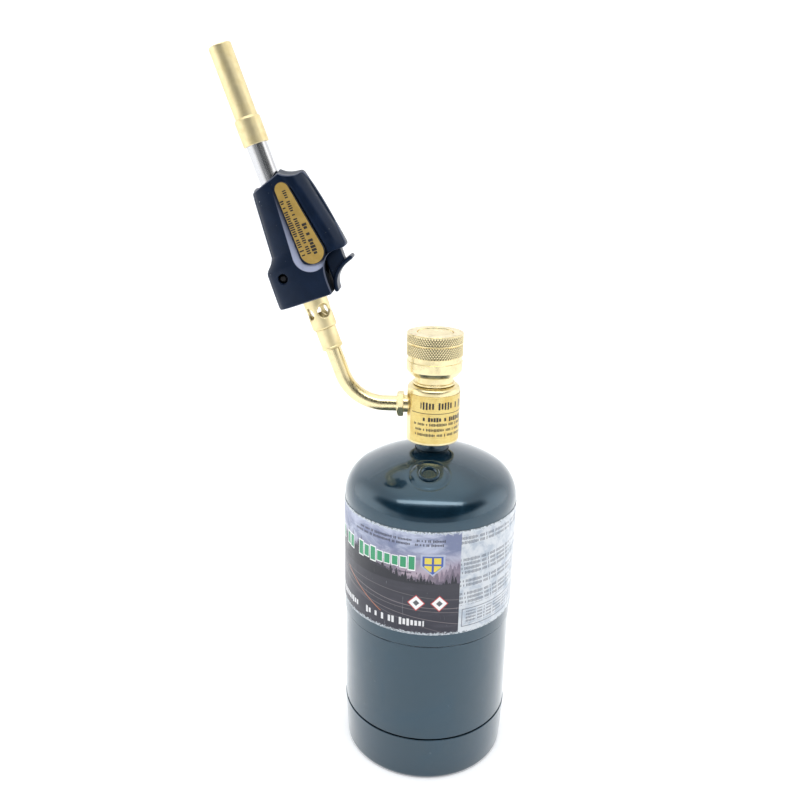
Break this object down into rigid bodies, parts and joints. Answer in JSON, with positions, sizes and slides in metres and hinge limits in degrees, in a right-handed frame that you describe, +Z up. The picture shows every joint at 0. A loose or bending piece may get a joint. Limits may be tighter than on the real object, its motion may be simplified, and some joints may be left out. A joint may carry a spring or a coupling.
{
  "type": "propane hand torch",
  "caption": "Brass hand torch with a bent outlet tube, piezo trigger housing and flame tube, screwed on a one-pound propane cylinder.",
  "frame": {"origin": "centre of the flat base of the gas cylinder's foot cup", "axes": "+Z up along the cylinder's axis, -X towards the burner, the XZ plane holds the outlet tube and the burner, -Y is the side with the relief valve and the label"},
  "size_m": [0.1663, 0.099, 0.3991],
  "materials": {
    "tank_paint": "glossy dark blue-green enamel",
    "label_paper": "printed film, satin",
    "steel": "polished stainless steel",
    "plain_steel": "plain steel",
    "brass": "bright turned brass",
    "gold_foil": "satin gold foil",
    "navy_plastic": "satin moulded plastic",
    "black_plastic": "black plastic",
    "white_plastic": "white plastic",
    "rubber": "black rubber",
    "ceramic": "fired ceramic",
    "red_insulation": "silicone insulation",
    "sintered_bronze": "sintered bronze"
  },
  "bodies": {
    "cylinder": {"foot_cup": "tank_paint", "lower_shell": "tank_paint", "upper_shell": "tank_paint", "tank_label": "label_paper", "threaded_boss": "tank_paint", "cylinder_valve_core": "brass", "cylinder_valve_spring": "plain_steel", "relief_valve_body": "tank_paint", "relief_spring": "plain_steel", "relief_retainer": "black_plastic"},
    "cylinder_valve_pin": {"cylinder_valve_pin": "plain_steel"},
    "relief_poppet": {"relief_poppet": "brass"},
    "inlet_gasket": {"inlet_gasket": "rubber"},
    "torch_head": {"valve_body": "brass", "body_label": "gold_foil", "depressor_pin": "brass", "inlet_filter": "sintered_bronze", "bonnet": "brass", "stem_seal": "rubber", "outlet_nipple": "brass", "lock_nut": "brass", "gooseneck_tube": "brass", "ferrule": "brass", "gas_jet": "brass", "mixer_sleeve": "brass", "flame_tube": "steel", "burner_tip": "brass", "swirl_disc": "brass", "electrode": "plain_steel", "electrode_insulator": "ceramic", "electrode_bush": "ceramic", "housing_left": "navy_plastic", "housing_right": "navy_plastic", "plate_left": "gold_foil", "plate_right": "gold_foil", "housing_screw_1": "plain_steel", "housing_screw_2": "plain_steel", "housing_screw_3": "plain_steel", "piezo_case": "black_plastic", "piezo_spring": "plain_steel", "ignition_lead": "red_insulation"},
    "needle_spindle": {"needle_spindle": "plain_steel"},
    "knob": {"knob": "brass", "knob_cap": "brass", "knob_screw": "plain_steel"},
    "trigger": {"trigger": "navy_plastic", "piezo_plunger": "white_plastic"}
  },
  "joints": [
    {"name": "cylinder_valve_press", "type": "slide", "parent": "cylinder", "child": "cylinder_valve_pin", "axis": [0, 0, 1], "range_m": [-0.0008, 0], "stiffness_N_per_m": 800, "springref_m": 0.0008, "deforming": ["cylinder_valve_spring"]},
    {"name": "relief_lift", "type": "slide", "parent": "cylinder", "child": "relief_poppet", "axis": [-0.0131, -0.3764, 0.9264], "range_m": [0, 0.001], "stiffness_N_per_m": 2000, "springref_m": -0.002, "deforming": ["relief_spring"]},
    {"name": "torch_rise", "type": "slide", "parent": "cylinder", "child": "inlet_gasket", "axis": [0, 0, 1], "range_m": [0, 0.0089]},
    {"name": "torch_turn", "type": "hinge", "parent": "inlet_gasket", "child": "torch_head", "pos_m": [0, 0, 0.2], "axis": [0, 0, 1], "range_deg": [0, 2520]},
    {"name": "needle_rise", "type": "slide", "parent": "torch_head", "child": "needle_spindle", "axis": [0, 0, 1], "range_m": [0, 0.0015]},
    {"name": "knob_turn", "type": "hinge", "parent": "needle_spindle", "child": "knob", "pos_m": [0, 0, 0.245], "axis": [0, 0, 1], "range_deg": [0, 540]},
    {"name": "trigger_pull", "type": "slide", "parent": "torch_head", "child": "trigger", "axis": [-0.342, 0, 0.9397], "range_m": [0, 0.0045], "stiffness_N_per_m": 2000, "springref_m": -0.002, "deforming": ["piezo_spring"]}
  ],
  "couplings": [
    {"joint": "torch_rise", "follows": "torch_turn", "m_per_rad": 0.00020213},
    {"joint": "needle_rise", "follows": "knob_turn", "m_per_rad": 0.00015915}
  ]
}
